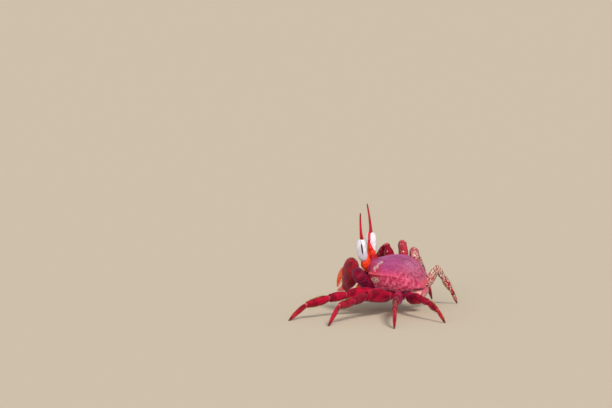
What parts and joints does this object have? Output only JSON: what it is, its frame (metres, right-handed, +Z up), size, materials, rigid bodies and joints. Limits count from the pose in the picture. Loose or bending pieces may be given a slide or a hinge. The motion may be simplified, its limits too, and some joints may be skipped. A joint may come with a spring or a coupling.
{
  "type": "ghost crab",
  "caption": "Life-size still model of a red ghost crab standing half crouched, with raised eyes that carry long styles, a large claw folded in front and jointed walking legs.",
  "frame": {"origin": "on the ground, under the middle of the box around the whole crab", "axes": "+Z up, -Y the way the crab faces, +X to the crab's own left, along the spread of its legs"},
  "size_m": [0.1556, 0.0952, 0.066],
  "materials": {
    "shell": "magenta-purple shell, finely granular, satin",
    "belly": "pale salmon plates, satin",
    "limb": "crimson shell of the legs, finely granular, satin",
    "claw": "dark crimson shell with coarse granules, satin",
    "fingertip": "orange finger, smooth and slightly glossy",
    "stalk": "orange-red stalk, smooth and slightly glossy",
    "cornea": "pale grey-white cornea, glossy",
    "style": "crimson horn above the eye, smooth"
  },
  "bodies": {
    "root": {"carapace": "shell", "claw_left_carpus": "claw", "claw_left_finger": "fingertip", "claw_left_merus": "limb", "claw_left_palm": "claw", "claw_right_carpus": "claw", "claw_right_finger": "fingertip", "claw_right_merus": "limb", "claw_right_palm": "claw", "eye_cornea_left": "cornea", "eye_cornea_right": "cornea", "eye_stalk_left": "stalk", "eye_stalk_right": "stalk", "eye_style_left": "style", "eye_style_right": "style", "feeler_left": "stalk", "feeler_right": "stalk", "leg_left_1_carpus": "limb", "leg_left_1_dactylus": "limb", "leg_left_1_merus": "limb", "leg_left_1_propodus": "limb", "leg_left_2_carpus": "limb", "leg_left_2_dactylus": "limb", "leg_left_2_merus": "limb", "leg_left_2_propodus": "limb", "leg_left_3_carpus": "limb", "leg_left_3_dactylus": "limb", "leg_left_3_merus": "limb", "leg_left_3_propodus": "limb", "leg_left_4_carpus": "limb", "leg_left_4_dactylus": "limb", "leg_left_4_merus": "limb", "leg_left_4_propodus": "limb", "leg_right_1_carpus": "limb", "leg_right_1_dactylus": "limb", "leg_right_1_merus": "limb", "leg_right_1_propodus": "limb", "leg_right_2_carpus": "limb", "leg_right_2_dactylus": "limb", "leg_right_2_merus": "limb", "leg_right_2_propodus": "limb", "leg_right_3_carpus": "limb", "leg_right_3_dactylus": "limb", "leg_right_3_merus": "limb", "leg_right_3_propodus": "limb", "leg_right_4_carpus": "limb", "leg_right_4_dactylus": "limb", "leg_right_4_merus": "limb", "leg_right_4_propodus": "limb", "mouth_door_left": "belly", "mouth_door_right": "belly", "sternum": "belly", "tail_flap": "belly"}
  },
  "joints": []
}
